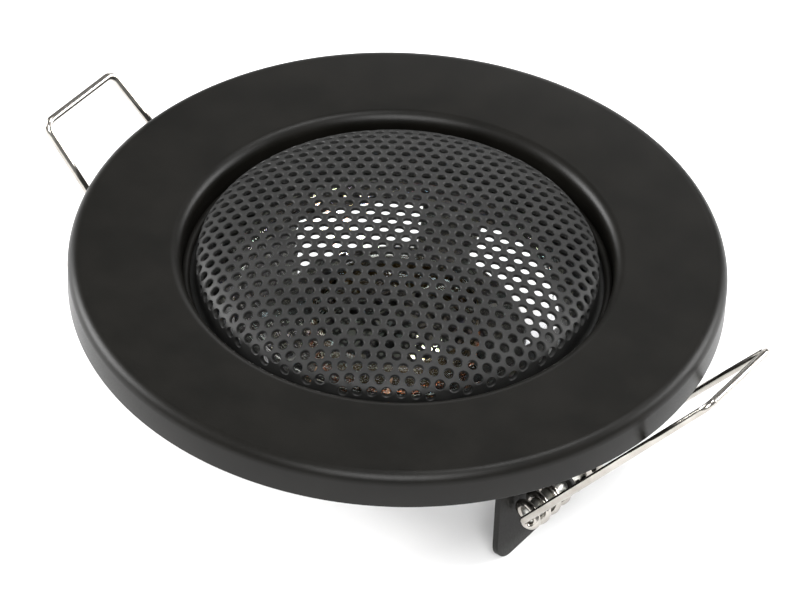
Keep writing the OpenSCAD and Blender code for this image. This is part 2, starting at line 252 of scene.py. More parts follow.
def filled(outline, holes=()):
    """Triangles that fill an outline and leave its holes open: the points and the corners' indexes."""
    loops = [[Vector(p) for p in loop] for loop in (outline, *holes)]
    points = [p for loop in loops for p in loop]
    edges = []
    owner = []
    for n, loop in enumerate(loops):
        first = len(owner)
        edges += [(first + i, first + (i + 1) % len(loop)) for i in range(len(loop))]
        owner += [n] * len(loop)
    made = geometry.delaunay_2d_cdt(points, edges, [], 0, 1e-6)
    source = [ids[0] for ids in made[3]]
    triangles = []
    for face in made[2]:
        corners = [source[v] for v in face]
        rings = {owner[c] for c in corners}
        middle = sum((points[c] for c in corners), Vector((0, 0))) / 3
        if len(rings) == 1 and (rings != {0}) == inside(middle, loops[rings.pop()]):
            continue
        triangles.append(corners)
    return points, triangles, loops


def inside(p, loop):
    """True if the point is inside the closed outline."""
    found = False
    for i, b in enumerate(loop):
        a = loop[i - 1]
        if (a.y > p.y) != (b.y > p.y) and p.x < a.x + (b.x - a.x) * (p.y - a.y) / (b.y - a.y):
            found = not found
    return found


def plate_mesh(outline, thickness, place, holes=()):
    """Points and faces of a flat plate: the outline lies in the matrix's XY plane, its thickness along Z."""
    points, triangles, loops = filled(outline, holes)
    count = len(points)
    solid = [place @ Vector((p.x, p.y, z)) for z in (0, thickness) for p in points]
    faces = [t[::-1] for t in triangles] + [[c + count for c in t] for t in triangles]
    first = 0
    for loop in loops:
        for i in range(len(loop)):
            a, b = first + i, first + (i + 1) % len(loop)
            faces.append([a, b, b + count, a + count])
        first += len(loop)
    return solid, faces


def plates(name, parts, edge=0.08, smooth=40.0):
    """One piece made of flat plates, with its sharp edges eased."""
    points, faces = [], []
    for more, walls in parts:
        faces += [[v + len(points) for v in f] for f in walls]
        points += more
    piece = new_piece(name, points, faces, smooth)
    ease = piece.modifiers.new("ease", "BEVEL")
    ease.width = edge * MM
    ease.segments = 2
    ease.limit_method = "ANGLE"
    ease.angle_limit = math.radians(50)
    return piece


def circle(cx, cy, r, sides=32):
    """Points of a full circle."""
    return arc(cx, cy, r, 0, 360 * (sides - 1) / sides, sides - 1)


def join(name, pieces):
    """The pieces as one object of that name, modifiers applied."""
    graph = bpy.context.evaluated_depsgraph_get()
    whole = bmesh.new()
    for piece in pieces:
        shape = piece.evaluated_get(graph).to_mesh()
        whole.from_mesh(shape)
        piece.evaluated_get(graph).to_mesh_clear()
    mesh = bpy.data.meshes.new(name)
    whole.to_mesh(mesh)
    whole.free()
    mesh.shade_smooth()
    mesh.set_sharp_from_angle(angle=math.radians(40))
    for piece in pieces:
        bpy.data.objects.remove(piece)
    joined = bpy.data.objects.new(name, mesh)
    bpy.context.scene.collection.objects.link(joined)
    return joined


def settle(piece, material, slot, body, *nodes):
    """Gives a finished piece its material and body, and hides the CAD nodes that it stands for. The slot is not used.
    """
    piece.data.materials.clear()
    piece.data.materials.append(material)
    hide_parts(*nodes)
    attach(piece, body)
    return piece


# ---------------------------------------------------------------- materials
def surface(name, dark, light, patch, rough, grain, depth, detail=3.0, stretch=(1, 1, 1), sheen=None, **sockets):
    """A procedural finish. patch and grain are the sizes in millimetres of its tone and of its relief,
    rough is its lowest and highest roughness, and depth the relief's height in millimetres.
    sheen is the least and greatest thickness in nanometres of the coat that colours a clear film."""
    material = bpy.data.materials.new(name)
    material.use_nodes = True
    tree = material.node_tree
    shader = tree.nodes["Principled BSDF"]
    for socket, value in sockets.items():
        shader.inputs[socket.replace("_", " ")].default_value = value
    place = tree.nodes.new("ShaderNodeTexCoord")
    scale = tree.nodes.new("ShaderNodeMapping")
    scale.inputs["Scale"].default_value = stretch
    tree.links.new(place.outputs["Object"], scale.inputs["Vector"])

    tone = tree.nodes.new("ShaderNodeTexNoise")
    tone.inputs["Scale"].default_value = 1 / (patch * MM)
    tone.inputs["Detail"].default_value = detail
    tree.links.new(scale.outputs["Vector"], tone.inputs["Vector"])
    ramp = tree.nodes.new("ShaderNodeValToRGB")
    ramp.color_ramp.elements[0].position = 0.35
    ramp.color_ramp.elements[0].color = (*dark, 1)
    ramp.color_ramp.elements[1].position = 0.65
    ramp.color_ramp.elements[1].color = (*light, 1)
    tree.links.new(tone.outputs["Fac"], ramp.inputs["Fac"])
    tree.links.new(ramp.outputs["Color"], shader.inputs["Base Color"])
    if sheen:
        coat = tree.nodes.new("ShaderNodeMapRange")
        coat.inputs["From Min"].default_value = 0.3
        coat.inputs["From Max"].default_value = 0.7
        coat.inputs["To Min"].default_value = sheen[0]
        coat.inputs["To Max"].default_value = sheen[1]
        tree.links.new(tone.outputs["Fac"], coat.inputs["Value"])
        tree.links.new(coat.outputs["Result"], shader.inputs["Thin Film Thickness"])

    relief = tree.nodes.new("ShaderNodeTexNoise")
    relief.inputs["Scale"].default_value = 1 / (grain * MM)
    relief.inputs["Detail"].default_value = detail
    tree.links.new(scale.outputs["Vector"], relief.inputs["Vector"])
    polish = tree.nodes.new("ShaderNodeMapRange")
    polish.inputs["From Min"].default_value = 0.3
    polish.inputs["From Max"].default_value = 0.7
    polish.inputs["To Min"].default_value = rough[0]
    polish.inputs["To Max"].default_value = rough[1]
    tree.links.new(relief.outputs["Fac"], polish.inputs["Value"])
    tree.links.new(polish.outputs["Result"], shader.inputs["Roughness"])
    bump = tree.nodes.new("ShaderNodeBump")
    bump.inputs["Distance"].default_value = depth * MM
    tree.links.new(relief.outputs["Fac"], bump.inputs["Height"])
    tree.links.new(bump.outputs["Normal"], shader.inputs["Normal"])
    return material


def finishes():
    """Every finish of the loudspeaker, by the record's slot."""
    made = {}

    def add(slot, *args, **sockets):
        made[slot] = surface(slot + "_look", *args, **sockets)

    add("bezel_paint", (0.0026, 0.0024, 0.0018), (0.0044, 0.004, 0.0032), 6.0, (0.34, 0.44), 0.16, 0.006,
        Specular_IOR_Level=0.15)
    add("collar_paint", (0.0045, 0.0042, 0.0036), (0.008, 0.0075, 0.0066), 4.0, (0.4, 0.55), 0.2, 0.008,
        Specular_IOR_Level=0.18)
    add("grille_paint", (0.006, 0.006, 0.0058), (0.011, 0.011, 0.0105), 3.0, (0.5, 0.62), 0.18, 0.006,
        Specular_IOR_Level=0.26)
    add("spring_wire", (0.34, 0.32, 0.29), (0.42, 0.40, 0.37), 1.5, (0.12, 0.24), 0.25, 0.003, Metallic=1.0)
    add("zinc_steel", (0.5, 0.5, 0.47), (0.66, 0.66, 0.62), 1.2, (0.28, 0.46), 0.3, 0.004, Metallic=1.0)
    add("black_steel", (0.010, 0.010, 0.0105), (0.02, 0.02, 0.021), 1.5, (0.3, 0.5), 0.3, 0.006)
    add("gasket_foam", (0.006, 0.006, 0.006), (0.02, 0.02, 0.02), 0.5, (0.85, 1.0), 0.3, 0.08)
    add("basket_paint", (0.012, 0.012, 0.013), (0.024, 0.024, 0.026), 2.5, (0.3, 0.45), 0.25, 0.01)
    add("clear_film", (0.96, 0.975, 0.95), (1.0, 1.0, 0.995), 5.0, (0.0, 0.03), 2.5, 0.004, detail=1.0,
        sheen=(225, 290), Transmission_Weight=1.0, IOR=1.55, Thin_Film_IOR=1.75)
    # The coil former's amber is darkened to dark brown here: painted shade for the dim inside of the driver.
    add("amber_film", (0.04, 0.024, 0.006), (0.075, 0.045, 0.012), 2.0, (0.2, 0.32), 0.5, 0.006)
    add("enamelled_copper", (0.32, 0.1, 0.04), (0.5, 0.18, 0.08), 0.8, (0.18, 0.3), 0.2, 0.004, Metallic=1.0)
    add("ferrite", (0.03, 0.029, 0.029), (0.06, 0.058, 0.057), 1.0, (0.45, 0.7), 0.25, 0.02)
    add("phenolic_board", (0.16, 0.065, 0.02), (0.26, 0.12, 0.045), 0.9, (0.4, 0.55), 0.15, 0.01,
        stretch=(1, 3, 1))
    add("tinned_brass", (0.6, 0.56, 0.46), (0.76, 0.73, 0.64), 0.8, (0.2, 0.36), 0.2, 0.004, Metallic=1.0)
    add("lead_braid", (0.55, 0.3, 0.16), (0.72, 0.45, 0.28), 0.3, (0.25, 0.4), 0.15, 0.01, Metallic=1.0)
    return made


LOOK = finishes()


# ---------------------------------------------------------------- housing
def make_bezel():
    """Face, skirt and rolled lip of one pressed sheet."""
    t = BEZEL_T
    outline = [
        Vector((BEZEL_R, 0.12)),
        *arc(BEZEL_R - EDGE_R, BEZEL_H - EDGE_R, EDGE_R, 0, 90, 20),
        *arc(LIP_R + LIP_ROLL, BEZEL_H - LIP_ROLL, LIP_ROLL, 90, 180, 16),
        Vector((LIP_R, LEDGE_Z)),
        Vector((LIP_R + t, LEDGE_Z)),
        *arc(LIP_R + LIP_ROLL, BEZEL_H - LIP_ROLL, LIP_ROLL - t, 180, 90, 8),
        *arc(BEZEL_R - EDGE_R, BEZEL_H - EDGE_R, EDGE_R - t, 90, 0, 10),
        *arc(BEZEL_R - t + 0.12, 0.12, 0.12, 180, 270, 3),
        *arc(BEZEL_R - 0.12, 0.12, 0.12, 270, 350, 3),
    ]
    piece = lathe("bezel", outline, 256)
    settle(piece, LOOK["bezel_paint"], "bezel_paint", HOUSING, "bezel_ring")


def turned(degrees):
    """A rotation about the Z axis."""
    return Matrix.Rotation(math.radians(degrees), 4, "Z")


def axes(origin, x, y, z):
    """The matrix of a frame with that origin and those axes."""
    return Matrix((
        (x[0], y[0], z[0], origin[0]),
        (x[1], y[1], z[1], origin[1]),
        (x[2], y[2], z[2], origin[2]),
        (0, 0, 0, 1),
    ))


def make_collar():
    """Neck, weld flange and ledge, and the two tabs with their eyes."""
    t = COLLAR_T
    neck = lathe("neck", rounded([
        (FLANGE_R, BEZEL_H - BEZEL_T - t, 0.15),
        (FLANGE_R, BEZEL_H - BEZEL_T, 0.15),
        (COLLAR_R - t, BEZEL_H - BEZEL_T, 0.9),
        (COLLAR_R - t, LEDGE_Z, 0.2),
        (TAB_X - t, LEDGE_Z, 0.2),
        (TAB_X - t, COLLAR_FOOT, 0.2),
        (COLLAR_R, COLLAR_FOOT, 0.9),
        (COLLAR_R, BEZEL_H - BEZEL_T - t, 0.2),
    ]))
    half = TAB_W / 2
    tab = rounded([
        (-half, TAB_FOOT, TAB_CORNER),
        (half, TAB_FOOT, TAB_CORNER),
        (half, COLLAR_FOOT + t / 2),
        (-half, COLLAR_FOOT + t / 2),
    ], steps=12)
    eye = [
        Vector((TAB_X - t / 2, CLIP_Z - EYE_R)),
        *arc(CLIP_X, CLIP_Z, EYE_R, -90, 90, 16),
        Vector((TAB_X - t / 2, CLIP_Z + EYE_R)),
    ]
    parts = []
    for side in (0, 180):
        turn = turned(side)
        parts.append(plate_mesh(tab, t, turn @ axes((TAB_X - t, 0, 0), (0, 1, 0), (0, 0, 1), (1, 0, 0))))
        place = turn @ axes((0, EYE_T / 2, 0), (1, 0, 0), (0, 0, 1), (0, -1, 0))
        parts.append(plate_mesh(eye, EYE_T, place))
    piece = join("collar", [neck, plates("tabs", parts, 0.12)])
    settle(piece, LOOK["collar_paint"], "collar_paint", HOUSING, "spigot_collar")


def grille_profile():
    """The grille's outer side from its crown to its flange, as points (radius, height) and the length up to each."""
    rise = GRILLE_HIGH.z - GRILLE_FOOT
    foot = GRILLE_LOW.z + GRILLE_T
    bend = 0.5
    line = [
        Vector((GRILLE_WALL_R * math.sin(a), GRILLE_FOOT + rise * math.cos(a)))
        for a in np.linspace(0, math.pi / 2, 181)
    ]
    line += [Vector((GRILLE_WALL_R, z)) for z in np.linspace(GRILLE_FOOT, foot + bend, 9)[1:]]
    line += arc(GRILLE_WALL_R + bend, foot + bend, bend, 180, 270, 6)[1:]
    line += [Vector((r, foot)) for r in np.linspace(GRILLE_WALL_R + bend, RIM_R, 4)[1:]]
    steps = [0.0]
    for a, b in zip(line, line[1:]):
        steps.append(steps[-1] + (b - a).length)
    return np.array(line), np.array(steps)


def make_grille():
    """A sheet with round holes in a triangular pattern, drawn flat and then wrapped onto the dome."""
    line, length = grille_profile()
    slope = np.gradient(line, length, axis=0)
    slope[0] = (1, 0)
    slope /= np.linalg.norm(slope, axis=1)[:, None]
    solid_r = length[180] + 1.0

    def wrapped(x, y, depth):
        s = math.hypot(x, y)
        r, z = (np.interp(s, length, line[:, k]) for k in (0, 1))
        along = [np.interp(s, length, slope[:, k]) for k in (0, 1)]
        size = math.hypot(*along)
        r += along[1] / size * depth
        z -= along[0] / size * depth
        share = r / s if s > 1e-6 else 0
        return Vector((x * share, y * share, z))

    turn = math.radians(LATTICE_TURN)
    u = Vector((math.cos(turn), math.sin(turn))) * HOLE_PITCH
    v = Vector((math.cos(turn + math.pi / 3), math.sin(turn + math.pi / 3))) * HOLE_PITCH
    reach = int(solid_r / HOLE_PITCH * 1.3)
    centres = [u * i + v * j for i in range(-reach, reach + 1) for j in range(-reach, reach + 1)]
    wide = HOLE_R + HOLE_EDGE
    centres = [c for c in centres if c.length < solid_r - wide - 0.15]
    sides = 16
    holes = [circle(c.x, c.y, wide, sides) for c in centres]
    border = circle(0, 0, solid_r, 240)
    flat, triangles = perforated(border, holes)

    points, faces = [], []
    for depth, flip in ((0, 1), (GRILLE_T, -1)):
        first = len(points)
        points += [wrapped(p.x, p.y, depth) for p in flat]
        faces += [[first + c for c in t[::flip]] for t in triangles]
    e = HOLE_EDGE
    rings = [(wide, 0), (HOLE_R, e)]
    rings += [(r, GRILLE_T - d) for r, d in rings[::-1]]
    for c in centres:
        first = len(points)
        for r, depth in rings:
            points += [wrapped(p.x, p.y, depth) for p in circle(c.x, c.y, r, sides)]
        for i in range(len(rings) - 1):
            for k in range(sides):
                n = (k + 1) % sides
                a, b = first + i * sides, first + (i + 1) * sides
                faces.append([a + k, b + k, b + n, a + n])
    rims = [s for s in length if s > solid_r + 0.05]
    levels = [(s, 0) for s in (solid_r, *rims)] + [(s, GRILLE_T) for s in (*rims[::-1], solid_r)]
    first = len(points)
    for s, depth in levels:
        points += [wrapped(p.x, p.y, depth) for p in circle(0, 0, s, 240)]
    for i in range(len(levels) - 1):
        for k in range(240):
            n = (k + 1) % 240
            a, b = first + i * 240, first + (i + 1) * 240
            faces.append([a + k, a + n, b + n, b + k])
    piece = new_piece("grille", points, faces, 30.0)
    settle(piece, LOOK["grille_paint"], "grille_paint", HOUSING, "grille_dome")


def perforated(border, holes):
    """Triangles between a border and its round holes."""
    loops = [border, *holes]
    points = [p for loop in loops for p in loop]
    edges, owner = [], []
    for n, loop in enumerate(loops):
        first = len(owner)
        edges += [(first + i, first + (i + 1) % len(loop)) for i in range(len(loop))]
        owner += [n] * len(loop)
    made = geometry.delaunay_2d_cdt(points, edges, [], 0, 1e-6)
    source = [ids[0] for ids in made[3]]
    triangles = []
    for face in made[2]:
        corners = [source[v] for v in face]
        rings = {owner[c] for c in corners}
        if len(rings) > 1 or rings == {0}:
            triangles.append(corners)
    return points, triangles


def make_snap_ring():
    """Split wire ring between the grille's flange and the wall of the well."""
    wire_r = (SNAP_HIGH.z - SNAP_LOW.z) / 2
    ring_r = LIP_R - wire_r
    gap = 14
    path = [
        (p.x, p.y, SNAP_LOW.z + wire_r)
        for p in arc(0, 0, ring_r, 90 + gap / 2 + 0.7, 450 - gap / 2 - 0.7, 200)
    ]
    piece = tubes("snap_ring", [path], wire_r, 16)
    settle(piece, LOOK["collar_paint"], "collar_paint", HOUSING, "grille_snap_ring")


def make_gasket(name, node, inner_r, low, high):
    """A flat foam ring with soft edges."""
    t = high.z - low.z
    outline = rounded([(inner_r, low.z), (high.x, low.z), (high.x, high.z), (inner_r, high.z)], 0.35 * t)
    settle(lathe(name, outline), LOOK["gasket_foam"], "gasket_foam", HOUSING, node)


# ---------------------------------------------------------------- driver
def make_basket():
    """Pressed basket: a sheet with four windows, thickened, and softened by subdivision."""
    t = 0.8
    foot_z, rim_z = BASKET_LOW.z + t / 2, BASKET_HIGH.z - t / 2
    hole_r, foot_r, top_r = 11.6, 15.0, 21.9
    line = [(hole_r, foot_z), (13.4, foot_z), (foot_r - 0.5, foot_z), (foot_r, foot_z + 0.35)]
    for u in (0.1, 0.15, 0.35, 0.5, 0.65, 0.71, 0.9):
        line.append((foot_r + (top_r - foot_r) * u, foot_z + (rim_z - foot_z) * u))
    line += [(top_r, rim_z - 0.3), (top_r + 0.6, rim_z), (24.0, rim_z), (RIM_R - 0.15, rim_z), (RIM_R, rim_z)]
    open_from, open_to = 5, 8
    segments = 120
    half_span = 33
    points = [
        (r * math.cos(a), r * math.sin(a), z)
        for a in (math.radians(WINDOW_TURN + 360 * j / segments) for j in range(segments))
        for r, z in line
    ]
    count = len(line)
    faces = []
    for j in range(segments):
        middle = (360 * (j + 0.5) / segments + 45) % 90 - 45
        for i in range(count - 1):
            if abs(middle) < half_span and open_from <= i <= open_to:
                continue
            here, there = j * count, (j + 1) % segments * count
            faces.append((here + i, here + i + 1, there + i + 1, there + i))
    piece = new_piece("basket_sheet", points, faces, 180.0)
    thick = piece.modifiers.new("sheet", "SOLIDIFY")
    thick.thickness = t * MM
    thick.offset = 0
    thick.use_even_offset = True
    soften = piece.modifiers.new("soften", "SUBSURF")
    soften.levels = soften.render_levels = 2
    lug_w = 5.0
    lug = plate_mesh(
        [Vector((x, y)) for x, y in ((14.8, -lug_w / 2), (21.4, -lug_w / 2), (21.4, lug_w / 2), (14.8, lug_w / 2))],
        t,
        turned(TERMINAL_TURN) @ Matrix.Translation((0, 0, BASKET_LOW.z)),
        [circle(17.5, 0, 0.5, 20)],
    )
    piece = join("basket", [piece, plates("lug", [lug], 0.1)])
    settle(piece, LOOK["basket_paint"], "basket_paint", HOUSING, "driver_basket")


def film_sheet(name, line, ripple, node, segments=ROUND):
    """A thin film of revolution with a ripple pressed into it. line runs outward as (radius, height)."""
    points, faces = [], []
    count = len(line)
    for drop in (0, FILM_T):
        for j in range(segments):
            a = 2 * math.pi * j / segments
            points += [(r * math.cos(a), r * math.sin(a), z - drop + ripple(r, a)) for r, z in line]
    shift = segments * count
    for j in range(segments):
        here, there = j * count, (j + 1) % segments * count
        for i in range(count - 1):
            quad = (here + i, here + i + 1, there + i + 1, there + i)
            faces.append(quad)
            faces.append(tuple(v + shift for v in quad[::-1]))
        for i in (0, count - 1):
            if line[i][0] > 1e-6:
                faces.append((here + i, there + i, there + i + shift, here + i + shift))
    piece = new_piece(name, points, faces, 60.0)
    piece.data.materials.append(LOOK["clear_film"])
    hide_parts(node)
    return piece


def make_film_parts():
    """Clear cone, centre dome and surround of one film."""
    inner_r, cone_r = DOME_HIGH.x, CONE_HIGH.x
    low_z, high_z = CONE_LOW.z + 2 * FILM_T, CONE_HIGH.z
    line = [
        (inner_r + (cone_r - inner_r) * u, low_z + (high_z - low_z) * u)
        for u in np.linspace(0, 1, 61)
    ]

    def cone_ripple(r, a):
        u = (r - inner_r) / (cone_r - inner_r)
        fade = math.sin(math.pi * u) ** 0.5 if 0 < u < 1 else 0
        return -0.09 * fade * (1 - math.cos(2 * math.pi * 6 * u)) / 2 - 0.02 * fade * (1 + math.sin(24 * a))

    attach(film_sheet("cone_film", line, cone_ripple, "cone"), DIAPHRAGM)

    rise = DOME_HIGH.z - DOME_LOW.z - 2 * FILM_T
    ball_r = (inner_r ** 2 + rise ** 2) / (2 * rise)
    top_z = DOME_HIGH.z - 0.02
    line = [(r, top_z - ball_r + math.sqrt(ball_r ** 2 - r * r)) for r in np.linspace(0, inner_r, 61)]

    def dome_ripple(r, a):
        x, y = r * math.cos(a), r * math.sin(a)
        fade = 1 - (r / inner_r) ** 4
        waves = math.sin(1.9 * x + 0.7 * y) + math.sin(1.3 * y - 1.6 * x + 1) + math.sin(2.4 * y + 0.6 * x)
        return fade * (0.018 * waves - 0.054)

    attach(film_sheet("centre_dome_film", line, dome_ripple, "centre_dome"), DIAPHRAGM)

    roll_r = 22.8
    middle, half = (cone_r + roll_r) / 2, (roll_r - cone_r) / 2
    base_z = SURROUND_LOW.z + 2 * FILM_T
    height = SURROUND_HIGH.z - base_z
    line = [
        (middle + half * math.cos(a), base_z + height * math.sin(a))
        for a in np.linspace(math.pi, 0, 25)
    ]
    line += [(r, base_z) for r in np.linspace(roll_r, SURROUND_HIGH.x, 8)[1:]]
    roll = film_sheet("surround_film", line, lambda r, a: 0, "surround")
    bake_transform(roll)


def make_coil():
    """Former of amber film, its colour darkened as painted shade of the dim inside, and the winding turn by turn."""
    former = lathe("former_sleeve", rounded([
        (FORMER_HIGH.x - 0.2, FORMER_LOW.z),
        (FORMER_HIGH.x, FORMER_LOW.z),
        (FORMER_HIGH.x, FORMER_HIGH.z),
        (FORMER_HIGH.x - 0.2, FORMER_HIGH.z),
    ], 0.05, 2))
    settle(former, LOOK["amber_film"], "amber_film", DIAPHRAGM, "coil_former")
    wire_r = 0.1
    thick = COIL_HIGH.x - FORMER_HIGH.x
    turns = round((COIL_HIGH.z - COIL_LOW.z) / (2 * wire_r))
    outline = [Vector((FORMER_HIGH.x, COIL_LOW.z)), Vector((FORMER_HIGH.x + thick - wire_r, COIL_LOW.z))]
    for n in range(turns):
        outline += arc(FORMER_HIGH.x + thick - wire_r, COIL_LOW.z + (2 * n + 1) * wire_r, wire_r, -80, 80, 5)
    outline += [Vector((FORMER_HIGH.x + thick - wire_r, COIL_HIGH.z)), Vector((FORMER_HIGH.x, COIL_HIGH.z))]
    settle(lathe("winding", outline, 128, 80.0), LOOK["enamelled_copper"], "enamelled_copper", DIAPHRAGM, "voice_coil")


def make_motor():
    """Top plate, magnet and yoke, with broken edges."""
    plate = rounded([
        (FORMER_HIGH.x + 0.75, PLATE_LOW.z), (PLATE_HIGH.x, PLATE_LOW.z),
        (PLATE_HIGH.x, PLATE_HIGH.z), (FORMER_HIGH.x + 0.75, PLATE_HIGH.z),
    ], 0.25, 4)
    settle(lathe("top_plate_steel", plate), LOOK["black_steel"], "black_steel", HOUSING, "top_plate")
    ring = rounded([
        (11.85, MAGNET_LOW.z), (MAGNET_HIGH.x, MAGNET_LOW.z),
        (MAGNET_HIGH.x, MAGNET_HIGH.z), (11.85, MAGNET_HIGH.z),
    ], 0.5, 1)
    settle(lathe("ferrite_ring", ring, smooth=20.0), LOOK["ferrite"], "ferrite", HOUSING, "magnet")
    pole_r = FORMER_HIGH.x - 0.5
    plate_z = MAGNET_LOW.z
    yoke = rounded([
        (2.5, YOKE_LOW.z, 0.6),
        (YOKE_HIGH.x, YOKE_LOW.z, 0.5),
        (YOKE_HIGH.x, plate_z, 0.2),
        (pole_r, plate_z, 0.3),
        (pole_r, YOKE_HIGH.z, 0.3),
        (2.5, YOKE_HIGH.z, 0.4),
    ], steps=5)
    settle(lathe("yoke_and_pole", yoke), LOOK["black_steel"], "black_steel", HOUSING, "pole_yoke")


def lathed_points(outline, segments, place):
    """Points and faces of a closed outline turned about the Z axis of a place."""
    count = len(outline)
    points = []
    for j in range(segments):
        a = 2 * math.pi * j / segments
        points += [place @ Vector((p[0] * math.cos(a), p[0] * math.sin(a), p[1])) for p in outline]
    faces = []
    for j in range(segments):
        here, there = j * count, (j + 1) % segments * count
        for i in range(count - 1):
            faces.append((here + i, here + i + 1, there + i + 1, there + i))
    return points, faces


def make_studs(name, node, outlines, places, slot, body=HOUSING, segments=28):
    """Rivets or pins: an outline from the axis out and back to the axis, at each place."""
    points, faces = [], []
    for outline, place in zip(outlines, places):
        more, walls = lathed_points(outline, segments, place)
        faces += [tuple(v + len(points) for v in f) for f in walls]
        points += more
    settle(new_piece(name, points, faces, 50.0), LOOK[slot], slot, body, node)


def make_rivets():
    """Four rivets that hold the basket to the top plate."""
    top, foot = BASKET_LOW.z + 0.8, PLATE_LOW.z
    stud = [(0, foot), (0.55, foot), (0.55, top), (0.9, top)]
    stud += [(0.9 * math.cos(a), top + 0.4 * math.sin(a)) for a in np.linspace(0.3, math.pi / 2, 6)]
    places = [turned(WINDOW_TURN + 90 * i) @ Matrix.Translation((13.4, 0, 0)) for i in range(4)]
    make_studs("basket_rivet_heads", "basket_rivets", [stud] * 4, places, "zinc_steel")


def make_terminals():
    """Board, two solder tags and three eyelets on the basket's lug."""
    turn = turned(TERMINAL_TURN)
    board_top = BASKET_LOW.z
    board_t = 1.0
    x0, x1, half_w = 16.3, 21.4, 6.5
    tag_y, tag_w, tag_t, tag_x = 4.3, 2.4, 0.5, 18.9
    tag_low = box_mm("terminal_positive")[0].z
    eyelet_x, eyelet_r = 17.5, 0.5
    slots = [
        [Vector((tag_x, y - tag_w / 2)), Vector((tag_x + tag_t, y - tag_w / 2)),
         Vector((tag_x + tag_t, y + tag_w / 2)), Vector((tag_x, y + tag_w / 2))]
        for y in (-tag_y, tag_y)
    ]
    eyelets = [circle(eyelet_x, y, eyelet_r, 24) for y in (-tag_y, 0, tag_y)]
    outline = rounded([(x0, -half_w), (x1, -half_w), (x1, half_w), (x0, half_w)], 0.5, 5)
    board = plates("tag_board", [
        plate_mesh(outline, board_t, turn @ Matrix.Translation((0, 0, board_top - board_t)), slots + eyelets)
    ], 0.06)
    settle(board, LOOK["phenolic_board"], "phenolic_board", HOUSING, "terminal_board")

    for name, node, y in (("tag_positive", "terminal_positive", tag_y), ("tag_negative", "terminal_negative", -tag_y)):
        blade = rounded([
            (y - tag_w / 2, tag_low, 0.7), (y + tag_w / 2, tag_low, 0.7),
            (y + tag_w / 2, board_top + tag_t - 0.2), (y - tag_w / 2, board_top + tag_t - 0.2),
        ], steps=6)
        upright = turn @ axes((tag_x, 0, 0), (0, 1, 0), (0, 0, 1), (1, 0, 0))
        hole = circle(y, tag_low + 1.4, 0.6, 24)
        foot = rounded([
            (eyelet_x - tag_w / 2, y - tag_w / 2, 0.8), (tag_x + tag_t, y - tag_w / 2),
            (tag_x + tag_t, y + tag_w / 2), (eyelet_x - tag_w / 2, y + tag_w / 2, 0.8),
        ], steps=6)
        parts = [
            plate_mesh(blade, tag_t, upright, [hole]),
            plate_mesh(foot, tag_t, turn @ Matrix.Translation((0, 0, board_top)), [circle(eyelet_x, y, eyelet_r, 24)]),
        ]
        settle(plates(name, parts, 0.06), LOOK["tinned_brass"], "tinned_brass", HOUSING, node)

    outlines, places = [], []
    for y in (-tag_y, 0, tag_y):
        low, high = board_top - board_t, board_top + (tag_t if y else 0.8)
        crown = [(0.85 - 0.35 * (1 - math.cos(a)), 0.35 * math.sin(a)) for a in np.linspace(0, math.pi / 2, 6)]
        outlines.append([
            (0.0, low + 0.3), (0.32, low + 0.2), (0.36, low - 0.3),
            *[(r, low - d) for r, d in crown[::-1]],
            (0.5, low), (0.5, high),
            *[(r, high + d) for r, d in crown],
            (0.36, high + 0.3), (0.32, high - 0.2), (0.0, high - 0.3),
        ])
        places.append(turn @ Matrix.Translation((eyelet_x, y, 0)))
    make_studs("tag_eyelets", "terminal_rivets", outlines, places, "zinc_steel")


def make_lead(name, node, side):
    """Braided lead from a tag to the back of the cone: three strands twisted about one line."""
    low, high = box_mm(node)
    start, rise = Vector((17.5, side * 4.3, BASKET_LOW.z + 0.9)), Vector((17.8, side * 4.9, -6.5))
    turn, end = Vector((15.0, side * 4.9, -5.0)), Vector((12.6, side * 4.4, high.z - 0.25))
    strand_r, twist_r, steps = 0.11, 0.12, 90
    paths = []
    for n in range(3):
        path = []
        for i in range(steps + 1):
            u, v = i / steps, 1 - i / steps
            p = start * v ** 3 + rise * 3 * v * v * u + turn * 3 * v * u * u + end * u ** 3
            ahead = (rise - start) * v * v + (turn - rise) * 2 * v * u + (end - turn) * u * u
            across = Vector((0, 1, 0))
            up = ahead.normalized().cross(across).normalized()
            a = 2 * math.pi * (n / 3 + 7 * u)
            path.append(turned(TERMINAL_TURN) @ (p + twist_r * (across * math.cos(a) + up * math.sin(a))))
        paths.append(path)
    piece = tubes(name, paths, strand_r, 8)
    piece.data.materials.append(LOOK["lead_braid"])
    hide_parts(node)
    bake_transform(piece)


# ---------------------------------------------------------------- clips
def leg_angle():
    """The legs' angle above the panel: each passes LEG_GAP clear of the skirt's lower edge."""
    reach = Vector((math.sqrt(BEZEL_R ** 2 - CONTACT_Y ** 2) - CLIP_X, -CLIP_Z))
    return math.atan2(reach.y, reach.x) - math.asin((WIRE_D / 2 + LEG_GAP) / reach.length)


def in_plane(a):
    """The direction at angle a in the plane that a clip turns in."""
    return Vector((math.cos(a), 0, math.sin(a)))


def corner_arc(p, q, s, r, steps=12):
    """Points of the rounded corner at q between the directions to p and s."""
    back, ahead = (p - q).normalized(), (s - q).normalized()
    half = back.angle(ahead) / 2
    inward, across = (back + ahead).normalized(), (ahead - back).normalized()
    centre = q + inward * r / math.sin(half)
    turns = [(math.pi / 2 - half) * (2 * i / steps - 1) for i in range(steps + 1)]
    return [centre - inward * r * math.cos(f) + across * r * math.sin(f) for f in turns]


